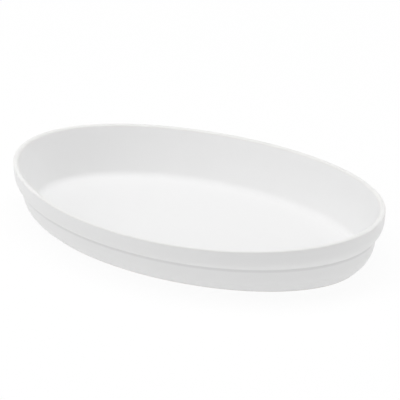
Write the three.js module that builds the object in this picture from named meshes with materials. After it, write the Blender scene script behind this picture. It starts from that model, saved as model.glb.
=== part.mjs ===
// Oval baking dish: one fired ceramic body with a collar band round its upper half and a foot ring
// under its floor, coated with white glaze everywhere but on the foot ring.
// Millimetres, +Z up. The origin is on the table under the middle of the dish, and X runs along it.
import * as THREE from 'three';

// Overall size, measured over the glaze
const LENGTH = 360;
const WIDTH = 220.4;
const END_HEIGHT = 56.1;
const SIDE_DIP = 5.4; // the rim runs this much lower at the middle of each long side than at the ends
const PLAN_TRIM = 0.005; // share by which the oval is drawn in between its axes

// Rim and collar band
const RIM_OUTER_RADIUS = 1.4; // the tight round at the rim's outer edge
const RIM_INNER_RADIUS = 2.8; // the longer round from the crest to the inner wall
const STEP_HEIGHT = 31.1; // the line cut under the collar, at the ends
const STEP_SIDE_DIP = 1.2; // the line runs this much lower at the middle of each long side
const COLLAR_TAPER = 0.6; // how far the collar leans in evenly
const COLLAR_BEND = 5.8; // how far it bends in besides, down to its lip
const COLLAR_POWER = 3.2; // how late it bends in
const STEP_INSET = 7.6; // how far inside the rim the lower wall starts
const STEP_SIDE_FLARE = -2.2; // its further inset at the long sides
const GROOVE_DEPTH = 0.9; // how deep the line is cut behind the lower wall
const GROOVE_RISE = 0.7; // from the line up to the collar's lip
const GROOVE_FALL = 0.9; // from the line down to the lower wall

// Lower wall and foot ring
const FOOT_INSET = 20.5;
const FOOT_SIDE_FLARE = 2.7; // further inset of the foot at the long sides
const BELLY_POWER = 2.8; // how late the lower wall turns in to the foot
const GLAZE_LINE = 1; // bare clay shows below this height
const FOOT_CHAMFER = 0.5;
const FOOT_RING_WIDTH = 6.5;
const FOOT_RECESS = 2.2; // how far the middle of the underside stands clear of the table

// Inside
const FLOOR_THICKNESS = 5;
const COVE_RADIUS = 9;
const COVE_INSET = 26; // where the cove runs out into the flat floor, at the ends
const COVE_SIDE_FLARE = 4.6; // further inset of the cove at the long sides

const GLAZE = 0.35;

// Fineness of the faces
const SECTORS = 48;
const RIM_STEPS = 3;
const COVE_STEPS = 4;
const COLLAR_SHARES = [0.4, 0.65, 0.85, 1];
const BELLY_SHARES = [0, 0.25, 0.5, 0.75, 1];

const CLAY = new THREE.MeshStandardMaterial({ color: 0xe9e3d8, roughness: 0.85, metalness: 0 });
const WHITE_GLAZE = new THREE.MeshStandardMaterial({ color: 0xf3f3f1, roughness: 0.15, metalness: 0 });

const QUARTER_TURN = Math.PI / 2;
const FLOOR_TOP = FOOT_RECESS + FLOOR_THICKNESS;

// A station is one ring of the dish: its inset from the rim's outline at the ends, its height there,
// its further inset at the long sides, and the share of the rim's dip that it takes.
function station(inset, height, flare, lift) {
  return { inset, height, flare, lift };
}

// The outside over the glaze, from the rim's crest over the collar and the line down to the glaze line
function outsideStations() {
  const lean = Math.atan2(COLLAR_TAPER, END_HEIGHT - RIM_OUTER_RADIUS - STEP_HEIGHT);
  const list = [];
  for (let i = 0; i <= RIM_STEPS; i++) {
    const turn = ((QUARTER_TURN - lean) * i) / RIM_STEPS;
    const inset = RIM_OUTER_RADIUS * (1 - Math.sin(turn));
    list.push(station(inset, END_HEIGHT - RIM_OUTER_RADIUS * (1 - Math.cos(turn)), 0, 1));
  }
  const top = list[RIM_STEPS];
  const add = (inset, height) => {
    const down = Math.min((top.height - height) / (top.height - STEP_HEIGHT), 1);
    const under = Math.max(1 - height / STEP_HEIGHT, 0);
    const flare = STEP_SIDE_FLARE * down ** 2 + (FOOT_SIDE_FLARE - STEP_SIDE_FLARE) * under;
    const stepLift = (STEP_SIDE_DIP / SIDE_DIP) * (1 - under);
    list.push(station(inset, height, flare, 1 - down + stepLift * down));
  };
  const lipHeight = STEP_HEIGHT + GROOVE_RISE;
  for (const share of COLLAR_SHARES) {
    const straight = top.inset + (COLLAR_TAPER - top.inset) * share;
    add(straight + COLLAR_BEND * share ** COLLAR_POWER, top.height + (lipHeight - top.height) * share);
  }
  add(STEP_INSET + GROOVE_DEPTH, STEP_HEIGHT);
  const bellyTop = STEP_HEIGHT - GROOVE_FALL;
  for (const share of BELLY_SHARES) {
    const height = bellyTop + (GLAZE_LINE - bellyTop) * share;
    add(STEP_INSET + (FOOT_INSET - STEP_INSET) * (1 - height / STEP_HEIGHT) ** BELLY_POWER, height);
  }
  return list;
}

// The inside over the glaze, from the rim's crest down to where the cove meets the floor.
// The wall is the straight line that touches both the rim's inner round and the cove.
function insideStations() {
  const across = COVE_INSET - RIM_OUTER_RADIUS;
  const down = FLOOR_TOP + COVE_RADIUS - (END_HEIGHT - RIM_INNER_RADIUS);
  const reach = Math.acos((RIM_INNER_RADIUS + COVE_RADIUS) / Math.hypot(across, down));
  const lean = Math.atan2(down, across) + reach;
  const wallTop = END_HEIGHT - RIM_INNER_RADIUS * (1 - Math.sin(lean));
  const add = (list, inset, height) => {
    const fall = Math.min(1, (END_HEIGHT - height) / (END_HEIGHT - FLOOR_TOP));
    const lift = Math.min(1, (height - FLOOR_TOP) / (wallTop - FLOOR_TOP));
    list.push(station(inset, height, COVE_SIDE_FLARE * fall, lift));
  };
  const list = [];
  for (let i = 0; i <= RIM_STEPS; i++) {
    const turn = ((QUARTER_TURN - lean) * i) / RIM_STEPS;
    const inset = RIM_OUTER_RADIUS + RIM_INNER_RADIUS * Math.sin(turn);
    add(list, inset, END_HEIGHT - RIM_INNER_RADIUS * (1 - Math.cos(turn)));
  }
  for (let i = 0; i <= COVE_STEPS; i++) {
    const turn = lean + ((QUARTER_TURN - lean) * i) / COVE_STEPS;
    add(list, COVE_INSET - COVE_RADIUS * Math.cos(turn), FLOOR_TOP + COVE_RADIUS * (1 - Math.sin(turn)));
  }
  return list;
}

// The clay under a run of glaze: each station set back square to the surface by the glaze's thickness.
// The side that is solid lies to the right or the left of the run, and the first and last stations
// are set back along the given direction where the run has a neighbour there.
function underGlaze(stations, side, firstBack, lastBack) {
  return stations.map((here, i) => {
    const before = stations[Math.max(i - 1, 0)];
    const after = stations[Math.min(i + 1, stations.length - 1)];
    const along = new THREE.Vector2(after.inset - before.inset, after.height - before.height).normalize();
    let back = new THREE.Vector2(-along.y, along.x).multiplyScalar(side);
    if (i === 0 && firstBack) back = firstBack;
    if (i === stations.length - 1 && lastBack) back = lastBack;
    const inset = here.inset + back.x * GLAZE;
    return station(inset, here.height + back.y * GLAZE, here.flare, here.lift);
  });
}

// The bare foot ring and the recess inside it, from the clay at the glaze line to the recess's ceiling
function footStations(edge) {
  const add = (list, run, height) => list.push(station(edge.inset + run, height, FOOT_SIDE_FLARE, 0));
  const list = [];
  const seatStart = FOOT_CHAMFER;
  const seatEnd = seatStart + FOOT_RING_WIDTH;
  add(list, seatStart, 0);
  add(list, seatEnd, 0);
  add(list, seatEnd + FOOT_CHAMFER, FOOT_CHAMFER);
  add(list, seatEnd + FOOT_CHAMFER + FOOT_RECESS, FOOT_RECESS);
  return list;
}

function ringPoints({ inset, height, flare, lift }) {
  const points = [];
  for (let i = 0; i < SECTORS; i++) {
    const angle = (2 * Math.PI * i) / SECTORS;
    const trim = 1 - PLAN_TRIM * Math.sin(2 * angle) ** 2;
    const x = (LENGTH / 2 - inset) * Math.cos(angle) * trim;
    const y = (WIDTH / 2 - inset - flare) * Math.sin(angle) * trim;
    points.push(x, y, height - SIDE_DIP * lift * Math.sin(angle) ** 2);
  }
  return points;
}

function distance(positions, a, b) {
  const from = new THREE.Vector3().fromArray(positions, 3 * a);
  return from.distanceTo(new THREE.Vector3().fromArray(positions, 3 * b));
}

// A closed solid lofted through rings. A run that starts and ends at the middle is closed there by
// fans at the given heights, and otherwise its last ring joins its first. Each four-sided face is
// split along its shorter diagonal, so the clay and the glaze on it share the same faces.
function loft(stations, middleStart, middleEnd) {
  const positions = stations.flatMap(ringPoints);
  const faces = [];
  const bands = middleStart === undefined ? stations.length : stations.length - 1;
  for (let band = 0; band < bands; band++) {
    const here = band * SECTORS;
    const next = ((band + 1) % stations.length) * SECTORS;
    for (let i = 0; i < SECTORS; i++) {
      const j = (i + 1) % SECTORS;
      const [a, b, c, d] = [here + i, next + i, next + j, here + j];
      if (distance(positions, a, c) < distance(positions, b, d)) faces.push(a, b, c, a, c, d);
      else faces.push(a, b, d, b, c, d);
    }
  }
  if (middleStart !== undefined) {
    const last = (stations.length - 1) * SECTORS;
    const centre = positions.length / 3;
    positions.push(0, 0, middleStart, 0, 0, middleEnd);
    for (let i = 0; i < SECTORS; i++) {
      const j = (i + 1) % SECTORS;
      faces.push(centre, i, j, centre + 1, last + j, last + i);
    }
  }
  const geometry = new THREE.BufferGeometry();
  geometry.setAttribute('position', new THREE.Float32BufferAttribute(positions, 3));
  geometry.setIndex(faces);
  geometry.computeVertexNormals();
  return geometry;
}

function piece(name, geometry, material) {
  const mesh = new THREE.Mesh(geometry, material);
  mesh.name = name;
  return mesh;
}

const DOWN = new THREE.Vector2(0, -1);
const outside = outsideStations();
const inside = insideStations();
const clayOutside = underGlaze(outside, 1, DOWN);
const clayInside = underGlaze(inside, -1, DOWN, DOWN);
const foot = footStations(clayOutside[clayOutside.length - 1]);
const recessEdge = foot[foot.length - 1];
const recessGlazeEdge = { ...recessEdge, height: FOOT_RECESS - GLAZE };

// The floor's middle, out along the inside, over the crest, down the outside and in under the foot
const clayRun = [...clayInside.slice().reverse(), ...clayOutside.slice(1), ...foot];
const body = loft(clayRun, FLOOR_TOP - GLAZE, FOOT_RECESS);
const liner = loft([...inside.slice().reverse(), ...clayInside], FLOOR_TOP, FLOOR_TOP - GLAZE);
const coat = loft([...outside, ...clayOutside.slice().reverse()]);
const base = loft([recessEdge, recessGlazeEdge], FOOT_RECESS, FOOT_RECESS - GLAZE);

const dish = new THREE.Group();
dish.add(
  piece('ceramic_body', body, CLAY),
  piece('inner_glaze', liner, WHITE_GLAZE),
  piece('outer_glaze', coat, WHITE_GLAZE),
  piece('base_glaze', base, WHITE_GLAZE),
);

export default dish;
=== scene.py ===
"""A white glazed oval baking dish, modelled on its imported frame, with a plain studio round it."""

import math
from typing import NamedTuple

import bpy
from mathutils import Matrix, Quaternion, Vector


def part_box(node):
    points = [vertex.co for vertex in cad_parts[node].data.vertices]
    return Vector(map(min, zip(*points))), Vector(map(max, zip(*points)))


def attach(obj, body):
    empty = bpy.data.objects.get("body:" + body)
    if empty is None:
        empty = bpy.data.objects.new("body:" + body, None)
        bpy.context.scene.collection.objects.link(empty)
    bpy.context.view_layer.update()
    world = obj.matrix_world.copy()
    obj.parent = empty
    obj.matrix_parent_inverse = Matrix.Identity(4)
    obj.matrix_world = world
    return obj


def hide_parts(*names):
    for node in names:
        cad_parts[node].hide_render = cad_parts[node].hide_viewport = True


bl_info = {
    "name": "Oval Baking Dish",
    "version": (1, 0, 0),
    "blender": (4, 5, 0),
    "location": "3D View > Sidebar > Baking Dish",
    "description": "Models a glazed oval baking dish on its frame, and the studio round it",
    "category": "Object",
}

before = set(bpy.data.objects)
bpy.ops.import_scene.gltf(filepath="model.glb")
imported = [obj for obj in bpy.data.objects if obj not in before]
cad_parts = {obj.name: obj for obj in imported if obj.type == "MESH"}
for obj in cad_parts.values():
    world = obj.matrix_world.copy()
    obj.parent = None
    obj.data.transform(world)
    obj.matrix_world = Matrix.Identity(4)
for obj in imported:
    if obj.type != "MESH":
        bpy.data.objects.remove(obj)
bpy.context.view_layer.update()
MM = 0.001
QUARTER_TURN = math.pi / 2

# What the frame says of the dish
BODY_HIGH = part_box("ceramic_body")[1]
LINER_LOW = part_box("inner_glaze")[0]
COAT_LOW, COAT_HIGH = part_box("outer_glaze")
BASE_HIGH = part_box("base_glaze")[1]
GLAZE_THICKNESS = COAT_HIGH.x - BODY_HIGH.x
FLOOR_TOP = LINER_LOW.z + GLAZE_THICKNESS

# Fineness of the modelled surfaces
SECTORS = 192
RIM_STEPS = 12
COLLAR_STEPS = 20
CORNER_STEPS = 4
BELLY_STEPS = 18
WALL_STEPS = 8
COVE_STEPS = 14
FLOOR_STEPS = 6
SMOOTH_ANGLE = math.radians(40)

# Softened corners by the line under the collar: how far each round reaches from its corner
LIP_REACH = 0.45 * MM
LINE_REACH = 0.3 * MM
SHOULDER_REACH = 0.6 * MM
# The share of the collar above its softened lip
COLLAR_SHARE = 0.97
# The shoulder's round heads for a point this far down the lower wall
SHOULDER_RUN = 3 * MM

# Glaze that thins on edges, and shade painted into the line under the collar for the shadow under its lip
THIN_AND_SHADE_ATTRIBUTE = "thin_glaze_and_painted_shade"
FULL_TURN_RADIUS = 2.8 * MM  # the glaze thins fully on a round of this radius or tighter, and the painted shade is full in a hollow as tight
PAINTED_SHADE_REACH = 5.2 * MM  # the painted shade spreads as far as this from the line's hollow
PAINTED_SHADE_COVER = 2  # how soon the painted shade covers a thin edge beside it

# Places along the ramp of glaze colours, from the painted shade of the line at 0 to thin glaze at 1
PAINTED_SHADE_END = 0.15
PLAIN_START = 0.3
PLAIN_END = 0.5

# Finish of the glaze: a weak and soft gloss, faint clouds, small specks and a slow ripple.
# A scale is a count of the pattern's cells in a metre.
GLOSS_WEIGHT = 0.45
GLOSS_IOR = 1.45
GLOSS_ROUGHNESS = 0.34
LEAST_ROUGHNESS = 0.3
MOST_ROUGHNESS = 0.38
CLOUD_SCALE = 28
CLOUD_DETAIL = 3
CLOUD_TONE = 0.985
SPECK_SCALE = 40
SPECK_EDGE = 0.018  # a speck ends at this share of a cell from its middle
SPECK_CORE = 0.006  # and has its full colour within this share
RIPPLE_SCALE = 60
RIPPLE_DETAIL = 1
RIPPLE_STRENGTH = 0.15
RIPPLE_HEIGHT = 0.3 * MM

# Finish of the bare clay: a fine, rough grain
CLAY_ROUGHNESS = 0.85
GRAIN_SCALE = 900
GRAIN_DETAIL = 4
GRAIN_TONE = 0.86
GRAIN_STRENGTH = 0.5
GRAIN_HEIGHT = 0.15 * MM

# The studio's floor, in metres and in shares of white
FLOOR_SIZE = 12
FLOOR_TONE = 0.35  # what the floor throws back of the lamps' light
SHADED_TONE = 0.95  # the tone that takes the shadow
WHITE_SHARE = 0.9  # plain white mixed with that tone near the dish
SHADOW_REACH = 0.3  # the mix stays the same as far as this from the middle of the dish
WHITE_REACH = 0.9  # and is all plain white from here on

# The studio's soft boxes: how far away they stand and how wide they are, in metres
BOX_DISTANCE = 2.2
BOX_SIZE = 1.5
# Name, turn from the camera to the right and height angle in degrees, and watts of each soft box
SOFT_BOXES = [
    ("box above", 0, 90, 8),
    ("box left high", 270, 70, 15.5),
    ("box right high", 125, 70, 13.5),
    ("box front", 0, 37, 6.5),
    ("box left", 270, 30, 11.5),
    ("box front left", 315, 20, 7),
    ("box front right", 45, 20, 6),
    ("box right", 90, 20, 10),
    ("box back right", 135, 28, 6),
    ("box back left", 225, 20, 6.5),
]

# The camera: its sensor's width in millimetres and the end of its view in metres
SENSOR_WIDTH = 36
VIEW_END = 20


def length_property(label, description, default):
    return bpy.props.FloatProperty(
        name=label, description=description, default=default, precision=5, unit="LENGTH"
    )


def angle_property(label, description, degrees):
    return bpy.props.FloatProperty(
        name=label, description=description, default=math.radians(degrees), subtype="ANGLE"
    )


def number_property(label, description, default):
    return bpy.props.FloatProperty(name=label, description=description, default=default, precision=4)


def colour_property(label, description, default):
    return bpy.props.FloatVectorProperty(
        name=label, description=description, default=default, size=4, min=0, max=1, subtype="COLOR"
    )


class DishSizes(bpy.types.PropertyGroup):
    """Sizes of the dish over its glaze"""

    length: length_property("Length", "Over the rim, end to end", 2 * COAT_HIGH.x)
    width: length_property("Width", "Over the rim, side to side", 2 * COAT_HIGH.y)
    end_height: length_property("End height", "From the table to the rim at the ends", COAT_HIGH.z)
    side_dip: length_property("Side dip", "How much lower the rim runs at the long sides", 5.4 * MM)
    plan_trim: number_property("Plan trim", "Share by which the oval is drawn in between its axes", 0.0025)
    rim_outer: length_property("Rim outer edge", "Width of the rim's outer round at the ends", 2.8 * MM)
    rim_side: length_property("Rim side edge", "Height of that round, and its width at the sides", 1.4 * MM)
    rim_inner: length_property("Rim inner round", "Radius of the rim's inner round", 2.8 * MM)
    step_height: length_property("Step height", "From the table to the line at the ends", 31.5 * MM)
    step_dip: length_property("Step dip", "How much lower the line runs at the long sides", 1.1 * MM)
    collar_taper: length_property("Collar taper", "How far the collar leans in evenly", 0.3 * MM)
    step_inset: length_property("Step inset", "How far inside the rim the lower wall starts", 7.3 * MM)
    step_flare: length_property("Step flare", "Further inset of that start at the sides", -1.6 * MM)
    collar_bend: length_property("Collar bend", "How far the collar bends in besides", 5.8 * MM)
    collar_power: number_property("Collar power", "How late the collar bends in", 4)
    groove_depth: length_property("Groove depth", "How deep the line is cut", 0.2 * MM)
    groove_rise: length_property("Groove rise", "From the line up to the collar's lip", 0.8 * MM)
    groove_fall: length_property("Groove fall", "From the line down to the lower wall", 1.4 * MM)
    foot_inset: length_property("Foot inset", "How far inside the rim the foot lies", 20.3 * MM)
    foot_flare: length_property("Foot flare", "Further inset of the foot at the sides", 2.7 * MM)
    belly_power: number_property("Belly power", "How late the lower wall turns in to the foot", 2.7)
    glaze_line: length_property("Glaze line", "Bare clay shows below this height", COAT_LOW.z)
    glaze: length_property("Glaze", "Thickness of the glaze", GLAZE_THICKNESS)
    foot_chamfer: length_property("Foot chamfer", "Worn edge of the bare foot", 0.5 * MM)
    foot_ring: length_property("Foot ring", "Width of the ring that the dish stands on", 6.5 * MM)
    recess: length_property("Recess", "Clear height under the middle", BASE_HIGH.z)
    floor_top: length_property("Floor top", "From the table to the inside floor", FLOOR_TOP)
    cove_radius: length_property("Cove radius", "Round between the floor and the wall", 7.6 * MM)
    cove_inset: length_property("Cove inset", "Where the cove meets the floor at the ends", 25.4 * MM)
    cove_flare: length_property("Cove flare", "Further inset of the cove at the sides", 6.4 * MM)


class DishFinishes(bpy.types.PropertyGroup):
    """Colours of the dish"""

    glaze: colour_property("Glaze", "White glaze", (0.84, 0.84, 0.84, 1))
    # A grey painted into the line under the collar, as the shade under its lip
    painted_line_shade: colour_property("Painted line shade", "Shade painted along the line under the collar", (0.76, 0.76, 0.76, 1))
    thin_glaze: colour_property("Thin glaze", "Glaze where it thins on edges", (0.825, 0.82, 0.81, 1))
    speck: colour_property("Speck", "Fired specks in the glaze", (0.74, 0.735, 0.72, 1))
    clay: colour_property("Clay", "Bare fired clay", (0.80, 0.78, 0.74, 1))


class StudioSettings(bpy.types.PropertyGroup):
    """Camera and light"""

    azimuth: angle_property("Azimuth", "Camera's turn round the dish", 24.578)
    elevation: angle_property("Elevation", "Camera's height angle", 29.531)
    roll: angle_property("Roll", "Camera's turn about its own axis", 0.32)
    distance: length_property("Distance", "From the camera to the middle of the dish", 1.62)
    lens: bpy.props.FloatProperty(name="Lens", description="Focal length", default=156.946, unit="CAMERA")
    across: length_property("Across", "How far right of the middle the camera aims", 4.85 * MM)
    above: length_property("Above", "How far above the middle the camera aims", 30.917 * MM)
    glow: number_property("Glow", "Light that the floor throws back", 0.6)


class Ring(NamedTuple):
    """One ring of the dish: its half sizes, its height at the ends and its share of the rim's dip."""

    half_length: float
    half_width: float
    height: float
    lift: float


def ring(sizes, inset, flare, height, lift):
    return Ring(sizes.length / 2 - inset, sizes.width / 2 - inset - flare, height, lift)


def shares(steps):
    return [step / steps for step in range(1, steps + 1)]


def rim_easing(sizes):
    """How much narrower the rim's outer round is at the long sides."""
    return sizes.rim_outer - sizes.rim_side


def rim_ring(sizes, turn):
    """A ring on the rim's outer round, at a turn from the crest."""
    back = 1 - math.sin(turn)
    height = sizes.end_height - sizes.rim_side * (1 - math.cos(turn))
    return ring(sizes, sizes.rim_outer * back, -rim_easing(sizes) * back, height, 1)


def softened(before, corner, after, reach):
    """Points that round a corner of the outline, starting and ending at a reach from it."""
    start = corner + (before - corner).normalized() * reach
    end = corner + (after - corner).normalized() * reach
    points = []
    for step in range(CORNER_STEPS + 1):
        share = step / CORNER_STEPS
        points.append(start.lerp(corner, share).lerp(corner.lerp(end, share), share))
    return points


def outside_rings(sizes):
    """The outside over the glaze: from the rim's crest over the collar and the line to the glaze line."""
    rings = [rim_ring(sizes, QUARTER_TURN * share) for share in (0, *shares(RIM_STEPS))]
    top = rings[-1].height
    lip_height = sizes.step_height + sizes.groove_rise

    def on_collar(share):
        inset = sizes.collar_taper * share + sizes.collar_bend * share**sizes.collar_power
        return Vector((inset, top + (lip_height - top) * share))

    def on_belly(height):
        share = 1 - height / sizes.step_height
        inset = sizes.step_inset + (sizes.foot_inset - sizes.step_inset) * share**sizes.belly_power
        return Vector((inset, height))

    lip = on_collar(1)
    line = Vector((sizes.step_inset + sizes.groove_depth, sizes.step_height))
    shoulder = on_belly(sizes.step_height - sizes.groove_fall)
    points = [on_collar(share * COLLAR_SHARE) for share in shares(COLLAR_STEPS)]
    points += softened(on_collar(COLLAR_SHARE), lip, line, LIP_REACH)
    points += softened(lip, line, shoulder, LINE_REACH)
    points += softened(line, shoulder, on_belly(shoulder.y - SHOULDER_RUN), SHOULDER_REACH)
    belly_top = points[-1].y
    for share in shares(BELLY_STEPS):
        points.append(on_belly(belly_top + (sizes.glaze_line - belly_top) * share))
    for inset, height in points:
        down = min((top - height) / (top - sizes.step_height), 1)
        under = max(1 - height / sizes.step_height, 0)
        flare = sizes.step_flare * down**2 + (sizes.foot_flare - sizes.step_flare) * under
        step_lift = sizes.step_dip / sizes.side_dip * (1 - under)
        rings.append(ring(sizes, inset, flare, height, 1 - down + step_lift * down))
    return rings


def inside_rings(sizes):
    """The inside over the glaze, from the rim's crest down the wall and the cove to the floor.
    The wall is the straight line that touches both the rim's round and the cove."""
    radius = sizes.rim_inner
    across = sizes.cove_inset - sizes.rim_outer
    down = sizes.floor_top + sizes.cove_radius - (sizes.end_height - radius)
    reach = math.acos((radius + sizes.cove_radius) / math.hypot(across, down))
    lean = math.atan2(down, across) + reach
    points = [(sizes.rim_outer, sizes.end_height)]
    for share in shares(RIM_STEPS):
        turn = (QUARTER_TURN - lean) * share
        inset = sizes.rim_outer + radius * math.sin(turn)
        points.append((inset, sizes.end_height - radius * (1 - math.cos(turn))))
    wall_inset, wall_top = points[-1]
    cove_start = sizes.cove_inset - sizes.cove_radius * math.cos(lean)
    cove_top = sizes.floor_top + sizes.cove_radius * (1 - math.sin(lean))
    for share in shares(WALL_STEPS):
        inset = wall_inset + (cove_start - wall_inset) * share
        points.append((inset, wall_top + (cove_top - wall_top) * share))
    for share in shares(COVE_STEPS):
        turn = lean + (QUARTER_TURN - lean) * share
        inset = sizes.cove_inset - sizes.cove_radius * math.cos(turn)
        points.append((inset, sizes.floor_top + sizes.cove_radius * (1 - math.sin(turn))))
    rings = []
    for inset, height in points:
        fall = (sizes.end_height - height) / (sizes.end_height - sizes.floor_top)
        lift = min(1, (height - sizes.floor_top) / (wall_top - sizes.floor_top))
        flare = sizes.cove_flare * fall - rim_easing(sizes) * (1 - fall)
        rings.append(ring(sizes, inset, flare, height, max(lift, 0)))
    return rings


def shrinking_rings(edge, steps):
    """Rings inside a flat edge, so that the flat is not one long fan."""
    rings = []
    for share in shares(steps)[:-1]:
        keep = 1 - share
        rings.append(
            edge._replace(half_length=edge.half_length * keep, half_width=edge.half_width * keep)
        )
    return rings


def under_glaze(rings, glaze, side, last_is_flat):
    """The clay under a run of glaze: each ring set back square to the surface, and the first straight
    down, as is the last where it lies on a flat. Side is 1 on the outside and -1 on the inside."""
    clay = []
    for i, here in enumerate(rings):
        before = rings[max(i - 1, 0)]
        after = rings[min(i + 1, len(rings) - 1)]
        along = Vector((before.half_length - after.half_length, after.height - before.height))
        along.normalize()
        back = Vector((-along.y, along.x)) * side
        if i == 0 or (last_is_flat and i == len(rings) - 1):
            back = Vector((0, -1))
        clay.append(
            Ring(
                here.half_length - back.x * glaze,
                here.half_width - back.x * glaze,
                here.height + back.y * glaze,
                here.lift,
            )
        )
    return clay


def foot_rings(sizes, edge):
    """The bare foot ring and the recess inside it."""
    seat_end = sizes.foot_chamfer + sizes.foot_ring
    ceiling = seat_end + sizes.foot_chamfer + sizes.recess
    outline = [
        (sizes.foot_chamfer, 0),
        (seat_end, 0),
        (seat_end + sizes.foot_chamfer, sizes.foot_chamfer),
        (ceiling, sizes.recess),
    ]
    start = sizes.length / 2 - edge.half_length
    return [ring(sizes, start + run, sizes.foot_flare, height, 0) for run, height in outline]


def start_ring(name, first, sizes):
    """Adds a circle and lays it on the dish's oval, with the rim's dip."""
    bpy.ops.object.select_all(action="DESELECT")
    bpy.ops.mesh.primitive_circle_add(vertices=SECTORS, radius=1, fill_type="NOTHING")
    piece = bpy.context.object
    piece.name = name
    piece.data.name = name
    for vertex in piece.data.vertices:
        along, across = vertex.co.x, vertex.co.y
        trim = 1 - sizes.plan_trim * (2 * across * along) ** 2
        vertex.co.x = first.half_length * along * trim
        vertex.co.y = first.half_width * across * trim
        vertex.co.z = first.height - sizes.side_dip * first.lift * across**2
    return piece


def select_rings(piece, *places):
    """Selects rings by their place in the order in which they were made. The place -1 is the last."""
    bpy.ops.mesh.select_all(action="DESELECT")
    bpy.ops.object.mode_set(mode="OBJECT")
    vertices = piece.data.vertices
    for place in places:
        start = place * SECTORS % len(vertices)
        for i in range(start, start + SECTORS):
            vertices[i].select = True
    bpy.ops.object.mode_set(mode="EDIT")


def extrude_along(rings):
    """Extrudes the selected ring from each ring to the next."""
    for here, after in zip(rings, rings[1:]):
        bpy.ops.mesh.extrude_edges_indiv()
        stretch = (
            after.half_length / here.half_length,
            after.half_width / here.half_width,
            after.lift / here.lift if here.lift else 1,
        )
        bpy.ops.transform.resize(value=stretch, center_override=(0, 0, here.height))
        bpy.ops.transform.translate(value=(0, 0, after.height - here.height))


def loft(name, sizes, first_run, second_run, meet):
    """Models a closed solid: two runs of rings from one starting ring, each closed in the middle, or
    joined to each other at their far ends where meet is true."""
    piece = start_ring(name, first_run[0], sizes)
    bpy.ops.object.mode_set(mode="EDIT")
    bpy.ops.mesh.select_mode(type="VERT")
    bpy.ops.mesh.select_all(action="SELECT")
    for run in (first_run, second_run):
        extrude_along(run)
        if not meet:
            bpy.ops.mesh.extrude_edges_indiv()
            bpy.ops.mesh.merge(type="CENTER")
        select_rings(piece, 0)
    if meet:
        select_rings(piece, len(first_run) - 1, -1)
        bpy.ops.mesh.bridge_edge_loops()
    bpy.ops.mesh.select_all(action="SELECT")
    bpy.ops.mesh.normals_make_consistent(inside=False)
    bpy.ops.object.mode_set(mode="OBJECT")
    bpy.ops.object.shade_smooth_by_angle(angle=SMOOTH_ANGLE)
    return piece


def thin_glaze_and_painted_shade(rings, side):
    """At each ring: up to 1 where the glaze thins on an edge, down to -1 in and beside a hollow such as the
    line, where shade is painted.
    """
    outline = [Vector((here.half_length, here.height)) for here in rings]
    places = [0.0]
    for before, here in zip(outline, outline[1:]):
        places.append(places[-1] + (here - before).length)
    turns = [0.0]
    for before, here, after in zip(outline, outline[1:], outline[2:]):
        come = here - before
        leave = after - here
        bend = come.angle_signed(leave) * side / ((come.length + leave.length) / 2)
        turns.append(min(max(bend * FULL_TURN_RADIUS, -1), 1))
    turns.append(0.0)
    runs = []
    for place, turn in zip(places, turns):
        # painted shade: how near a hollow this ring is, weighted by how tight the hollow is
        painted_shade = 0
        for spot, far_turn in zip(places, turns):
            nearness = max(1 - abs(place - spot) / PAINTED_SHADE_REACH, 0)
            painted_shade = max(painted_shade, -far_turn * nearness)
        runs.append(max(turn, 0) * max(1 - PAINTED_SHADE_COVER * painted_shade, 0) - painted_shade)
    return runs


def mark_thin_glaze_and_painted_shade(piece, rings, side):
    """Keeps that value with the piece's outer rings, for its material."""
    values = [0.0] * len(piece.data.vertices)
    for i, value in enumerate(thin_glaze_and_painted_shade(rings, side)):
        values[i * SECTORS:(i + 1) * SECTORS] = [value] * SECTORS
    run = piece.data.attributes.new(THIN_AND_SHADE_ATTRIBUTE, "FLOAT", "POINT")
    run.data.foreach_set("value", values)


def grey(tone):
    return (tone, tone, tone, 1)


def new_material(name):
    material = bpy.data.materials.new(name)
    material.use_nodes = True
    return material, material.node_tree


def set_inputs(node, values):
    for name, value in values.items():
        node.inputs[name].default_value = value


def add_node(tree, kind, values=None, **settings):
    """Adds a node with its settings, and then the values of its inputs."""
    node = tree.nodes.new(kind)
    for name, setting in settings.items():
        setattr(node, name, setting)
    set_inputs(node, values or {})
    return node


def add_noise(tree, place, scale, detail):
    noise = add_node(tree, "ShaderNodeTexNoise", {"Scale": scale, "Detail": detail})
    tree.links.new(place.outputs["Object"], noise.inputs["Vector"])
    return noise


def add_bump(tree, pattern, strength, height):
    bump = add_node(tree, "ShaderNodeBump", {"Strength": strength, "Distance": height})
    tree.links.new(pattern.outputs["Fac"], bump.inputs["Height"])
    return bump


def glaze_colours(tree, finishes):
    """Colours of the glaze by the marked value: painted shade in the line under the collar, plain glaze,
    and thin glaze on edges.
    """
    # the value of thin glaze on edges and of painted shade in the line
    run = add_node(tree, "ShaderNodeAttribute", attribute_name=THIN_AND_SHADE_ATTRIBUTE)
    spread = add_node(tree, "ShaderNodeMapRange", {"From Min": -1})
    tree.links.new(run.outputs["Fac"], spread.inputs["Value"])
    colours = add_node(tree, "ShaderNodeValToRGB")
    ramp = colours.color_ramp.elements
    # the dark end of the ramp is the shade painted in the line
    ramp[0].color = finishes.painted_line_shade
    ramp[1].color = finishes.thin_glaze
    ramp.new(PAINTED_SHADE_END).color = finishes.painted_line_shade
    ramp.new(PLAIN_START).color = finishes.glaze
    ramp.new(PLAIN_END).color = finishes.glaze
    tree.links.new(spread.outputs["Result"], colours.inputs["Fac"])
    return colours


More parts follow.
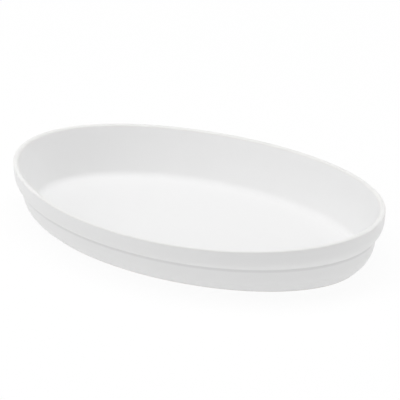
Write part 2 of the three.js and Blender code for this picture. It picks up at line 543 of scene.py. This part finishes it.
def glaze_material(name, finishes):
    """White glaze with a soft gloss: greyer in and beside the line under the collar, where shade is
    painted, warmer where it thins on an edge, with faint clouds and specks, and a slow ripple."""
    material, tree = new_material(name)
    links = tree.links
    shader = tree.nodes["Principled BSDF"]
    set_inputs(shader, {
        "Specular IOR Level": 0,
        "Coat Weight": GLOSS_WEIGHT,
        "Coat IOR": GLOSS_IOR,
        "Coat Roughness": GLOSS_ROUGHNESS,
    })
    place = add_node(tree, "ShaderNodeTexCoord")

    colours = glaze_colours(tree, finishes)
    cloud = add_noise(tree, place, CLOUD_SCALE, CLOUD_DETAIL)
    clouded = add_node(
        tree, "ShaderNodeMix", {"B": grey(CLOUD_TONE)}, data_type="RGBA", blend_type="MULTIPLY"
    )
    links.new(cloud.outputs["Fac"], clouded.inputs["Factor"])
    links.new(colours.outputs["Color"], clouded.inputs["A"])

    speck = add_node(tree, "ShaderNodeTexVoronoi", {"Scale": SPECK_SCALE})
    links.new(place.outputs["Object"], speck.inputs["Vector"])
    spot = add_node(tree, "ShaderNodeMapRange", {"From Min": SPECK_EDGE, "From Max": SPECK_CORE})
    links.new(speck.outputs["Distance"], spot.inputs["Value"])
    specked = add_node(tree, "ShaderNodeMix", {"B": finishes.speck}, data_type="RGBA")
    links.new(spot.outputs["Result"], specked.inputs["Factor"])
    links.new(clouded.outputs["Result"], specked.inputs["A"])
    links.new(specked.outputs["Result"], shader.inputs["Base Color"])

    rough = add_node(tree, "ShaderNodeMapRange", {"To Min": LEAST_ROUGHNESS, "To Max": MOST_ROUGHNESS})
    links.new(cloud.outputs["Fac"], rough.inputs["Value"])
    links.new(rough.outputs["Result"], shader.inputs["Roughness"])

    ripple = add_noise(tree, place, RIPPLE_SCALE, RIPPLE_DETAIL)
    bump = add_bump(tree, ripple, RIPPLE_STRENGTH, RIPPLE_HEIGHT)
    links.new(bump.outputs["Normal"], shader.inputs["Normal"])
    links.new(bump.outputs["Normal"], shader.inputs["Coat Normal"])
    return material


def clay_material(name, finishes):
    """Bare fired clay with a fine, rough grain."""
    material, tree = new_material(name)
    links = tree.links
    shader = tree.nodes["Principled BSDF"]
    set_inputs(shader, {"Roughness": CLAY_ROUGHNESS})
    place = add_node(tree, "ShaderNodeTexCoord")
    grain = add_noise(tree, place, GRAIN_SCALE, GRAIN_DETAIL)
    darker = [part * GRAIN_TONE for part in finishes.clay[:3]] + [1]
    tint = add_node(tree, "ShaderNodeMix", {"A": finishes.clay, "B": darker}, data_type="RGBA")
    links.new(grain.outputs["Fac"], tint.inputs["Factor"])
    links.new(tint.outputs["Result"], shader.inputs["Base Color"])
    bump = add_bump(tree, grain, GRAIN_STRENGTH, GRAIN_HEIGHT)
    links.new(bump.outputs["Normal"], shader.inputs["Normal"])
    return material


# Name and maker of the material for each of the record's slots
SLOT_MATERIALS = {
    "bare_clay": ("bare clay", clay_material),
    "white_glaze": ("white glaze", glaze_material),
}


def settle(piece, node, slot):
    """Gives a finished piece the material for its slot, puts it under the root body, and hides the imported
    part named by node.
    """
    name, maker = SLOT_MATERIALS[slot]
    material = bpy.data.materials.get(name) or maker(name, bpy.context.scene.dish_finishes)
    piece.data.materials.append(material)
    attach(piece, "root")
    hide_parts(node)


class DISH_OT_clay_body(bpy.types.Operator):
    """Model the fired clay body, with its bare foot ring"""

    bl_idname = "baking_dish.clay_body"
    bl_label = "Clay Body"

    def execute(self, context):
        sizes = context.scene.dish_sizes
        inside = under_glaze(inside_rings(sizes), sizes.glaze, -1, True)
        outside = under_glaze(outside_rings(sizes), sizes.glaze, 1, False)
        foot = foot_rings(sizes, outside[-1])
        inside += shrinking_rings(inside[-1], FLOOR_STEPS)
        foot += shrinking_rings(foot[-1], FLOOR_STEPS)
        piece = loft("clay_body", sizes, inside, outside + foot, False)
        settle(piece, "ceramic_body", "bare_clay")
        return {"FINISHED"}


class DISH_OT_liner_glaze(bpy.types.Operator):
    """Model the glaze on the floor, the cove and the inner wall, up to the crest"""

    bl_idname = "baking_dish.liner_glaze"
    bl_label = "Liner Glaze"

    def execute(self, context):
        sizes = context.scene.dish_sizes
        surface = inside_rings(sizes)
        clay = under_glaze(surface, sizes.glaze, -1, True)
        back = [surface[0]] + clay + shrinking_rings(clay[-1], FLOOR_STEPS)
        surface += shrinking_rings(surface[-1], FLOOR_STEPS)
        piece = loft("liner_glaze", sizes, surface, back, False)
        mark_thin_glaze_and_painted_shade(piece, surface, -1)
        settle(piece, "inner_glaze", "white_glaze")
        return {"FINISHED"}


class DISH_OT_coat_glaze(bpy.types.Operator):
    """Model the glaze on the rim, the collar and the lower wall, down to the glaze line"""

    bl_idname = "baking_dish.coat_glaze"
    bl_label = "Coat Glaze"

    def execute(self, context):
        sizes = context.scene.dish_sizes
        surface = outside_rings(sizes)
        clay = under_glaze(surface, sizes.glaze, 1, False)
        piece = loft("coat_glaze", sizes, surface, [surface[0]] + clay, True)
        mark_thin_glaze_and_painted_shade(piece, surface, 1)
        settle(piece, "outer_glaze", "white_glaze")
        return {"FINISHED"}


class DISH_OT_recess_glaze(bpy.types.Operator):
    """Model the glaze under the floor, inside the foot ring"""

    bl_idname = "baking_dish.recess_glaze"
    bl_label = "Recess Glaze"

    def execute(self, context):
        sizes = context.scene.dish_sizes
        outside = under_glaze(outside_rings(sizes), sizes.glaze, 1, False)
        edge = foot_rings(sizes, outside[-1])[-1]
        under = edge._replace(height=edge.height - sizes.glaze)
        top = [edge] + shrinking_rings(edge, FLOOR_STEPS)
        bottom = [edge, under] + shrinking_rings(under, FLOOR_STEPS)
        piece = loft("recess_glaze", sizes, top, bottom, False)
        settle(piece, "base_glaze", "white_glaze")
        return {"FINISHED"}


def seen_directly(tree):
    """1 for camera, glossy and transmission rays."""
    path = add_node(tree, "ShaderNodeLightPath")
    total = path.outputs["Is Camera Ray"]
    for name in ("Is Glossy Ray", "Is Transmission Ray"):
        join = add_node(tree, "ShaderNodeMath", operation="MAXIMUM")
        tree.links.new(total, join.inputs[0])
        tree.links.new(path.outputs[name], join.inputs[1])
        total = join.outputs["Value"]
    return total


def mix_shaders(tree, share, first, second):
    mix = add_node(tree, "ShaderNodeMixShader")
    tree.links.new(share, mix.inputs["Fac"])
    tree.links.new(first, mix.inputs[1])
    tree.links.new(second, mix.inputs[2])
    return mix.outputs["Shader"]


def studio_world():
    """Plain white behind the dish for the camera and reflections. It gives the dish no other light."""
    world = bpy.data.worlds.new("studio")
    bpy.context.scene.world = world
    world.use_nodes = True
    tree = world.node_tree
    dark = tree.nodes["Background"]
    set_inputs(dark, {"Strength": 0})
    white = add_node(tree, "ShaderNodeBackground", {"Color": grey(1)})
    seen = seen_directly(tree)
    look = mix_shaders(tree, seen, dark.outputs["Background"], white.outputs["Background"])
    tree.links.new(look, tree.nodes["World Output"].inputs["Surface"])


def floor_material(glow):
    """A pale floor. Seen directly it is white with a soft shadow, plain white further out, and the dish
    gets an even glow from it."""
    material, tree = new_material("pale floor")
    bounce = tree.nodes["Principled BSDF"]
    set_inputs(bounce, {
        "Base Color": grey(FLOOR_TONE),
        "Roughness": 1,
        "Specular IOR Level": 0,
        "Emission Color": grey(1),
        "Emission Strength": glow,
    })
    shaded = add_node(tree, "ShaderNodeBsdfDiffuse", {"Color": grey(SHADED_TONE)})
    white = add_node(tree, "ShaderNodeEmission")
    place = add_node(tree, "ShaderNodeTexCoord")
    away = add_node(tree, "ShaderNodeVectorMath", operation="LENGTH")
    tree.links.new(place.outputs["Object"], away.inputs[0])
    fade = add_node(
        tree,
        "ShaderNodeMapRange",
        {"From Min": SHADOW_REACH, "From Max": WHITE_REACH, "To Min": WHITE_SHARE},
    )
    tree.links.new(away.outputs["Value"], fade.inputs["Value"])
    look = mix_shaders(tree, fade.outputs["Result"], shaded.outputs["BSDF"], white.outputs["Emission"])
    both = mix_shaders(tree, seen_directly(tree), bounce.outputs["BSDF"], look)
    tree.links.new(both, tree.nodes["Material Output"].inputs["Surface"])
    return material


def studio_floor(glow):
    bpy.ops.object.select_all(action="DESELECT")
    bpy.ops.mesh.primitive_plane_add(size=FLOOR_SIZE)
    floor = bpy.context.object
    floor.name = "floor"
    floor.data.materials.append(floor_material(glow))


def direction(turn, rise):
    """Unit vector from the dish: turned from the front to the right, and raised."""
    level = Vector((math.sin(turn), -math.cos(turn), 0)) * math.cos(rise)
    return level + Vector((0, 0, math.sin(rise)))


def aim(thing, target, roll=0):
    """Turns a lamp or camera to face a point, and about its own axis."""
    facing = (Vector(target) - thing.location).to_track_quat("-Z", "Y")
    thing.rotation_euler = (facing @ Quaternion((0, 0, 1), roll)).to_euler()


def soft_box(name, turn, rise, watts):
    """A square lamp that faces the dish. Reflections show the plain white round it instead."""
    bpy.ops.object.light_add(type="AREA", location=direction(turn, rise) * BOX_DISTANCE)
    lamp = bpy.context.object
    lamp.name = name
    lamp.data.shape = "SQUARE"
    lamp.data.size = BOX_SIZE
    lamp.data.energy = watts
    lamp.visible_glossy = False
    aim(lamp, (0, 0, 0))


def studio_camera(studio):
    towards = direction(studio.azimuth, studio.elevation)
    right = Vector((math.cos(studio.azimuth), math.sin(studio.azimuth), 0))
    up = towards.cross(right)
    bpy.ops.object.camera_add(location=towards * studio.distance)
    camera = bpy.context.object
    camera.data.lens = studio.lens
    camera.data.sensor_width = SENSOR_WIDTH
    camera.data.clip_end = VIEW_END
    aim(camera, right * studio.across + up * studio.above, studio.roll)
    bpy.context.scene.camera = camera


class DISH_OT_studio(bpy.types.Operator):
    """Make the floor, the light and the camera"""

    bl_idname = "baking_dish.studio"
    bl_label = "Studio"

    def execute(self, context):
        studio = context.scene.dish_studio
        context.scene.view_settings.view_transform = "Standard"
        studio_floor(studio.glow)
        studio_world()
        for name, turn, rise, watts in SOFT_BOXES:
            soft_box(name, studio.azimuth + math.radians(turn), math.radians(rise), watts)
        studio_camera(studio)
        return {"FINISHED"}


OPERATORS = (
    DISH_OT_clay_body,
    DISH_OT_liner_glaze,
    DISH_OT_coat_glaze,
    DISH_OT_recess_glaze,
    DISH_OT_studio,
)


class DISH_PT_panel(bpy.types.Panel):
    """Lists the dish's pieces, its studio and their settings"""

    bl_idname = "DISH_PT_panel"
    bl_label = "Baking Dish"
    bl_space_type = "VIEW_3D"
    bl_region_type = "UI"
    bl_category = "Baking Dish"

    def draw(self, context):
        for operator in OPERATORS:
            self.layout.operator(operator.bl_idname)
        for group in ("dish_sizes", "dish_finishes", "dish_studio"):
            settings = getattr(context.scene, group)
            for name in settings.__annotations__:
                self.layout.prop(settings, name)


CLASSES = (DishSizes, DishFinishes, StudioSettings, *OPERATORS, DISH_PT_panel)


def register():
    for cls in CLASSES:
        bpy.utils.register_class(cls)
    bpy.types.Scene.dish_sizes = bpy.props.PointerProperty(type=DishSizes)
    bpy.types.Scene.dish_finishes = bpy.props.PointerProperty(type=DishFinishes)
    bpy.types.Scene.dish_studio = bpy.props.PointerProperty(type=StudioSettings)


def unregister():
    del bpy.types.Scene.dish_studio
    del bpy.types.Scene.dish_finishes
    del bpy.types.Scene.dish_sizes
    for cls in reversed(CLASSES):
        bpy.utils.unregister_class(cls)


def main():
    register()
    bpy.ops.baking_dish.clay_body()
    bpy.ops.baking_dish.liner_glaze()
    bpy.ops.baking_dish.coat_glaze()
    bpy.ops.baking_dish.recess_glaze()
    bpy.ops.baking_dish.studio()


if __name__ == "__main__":
    main()
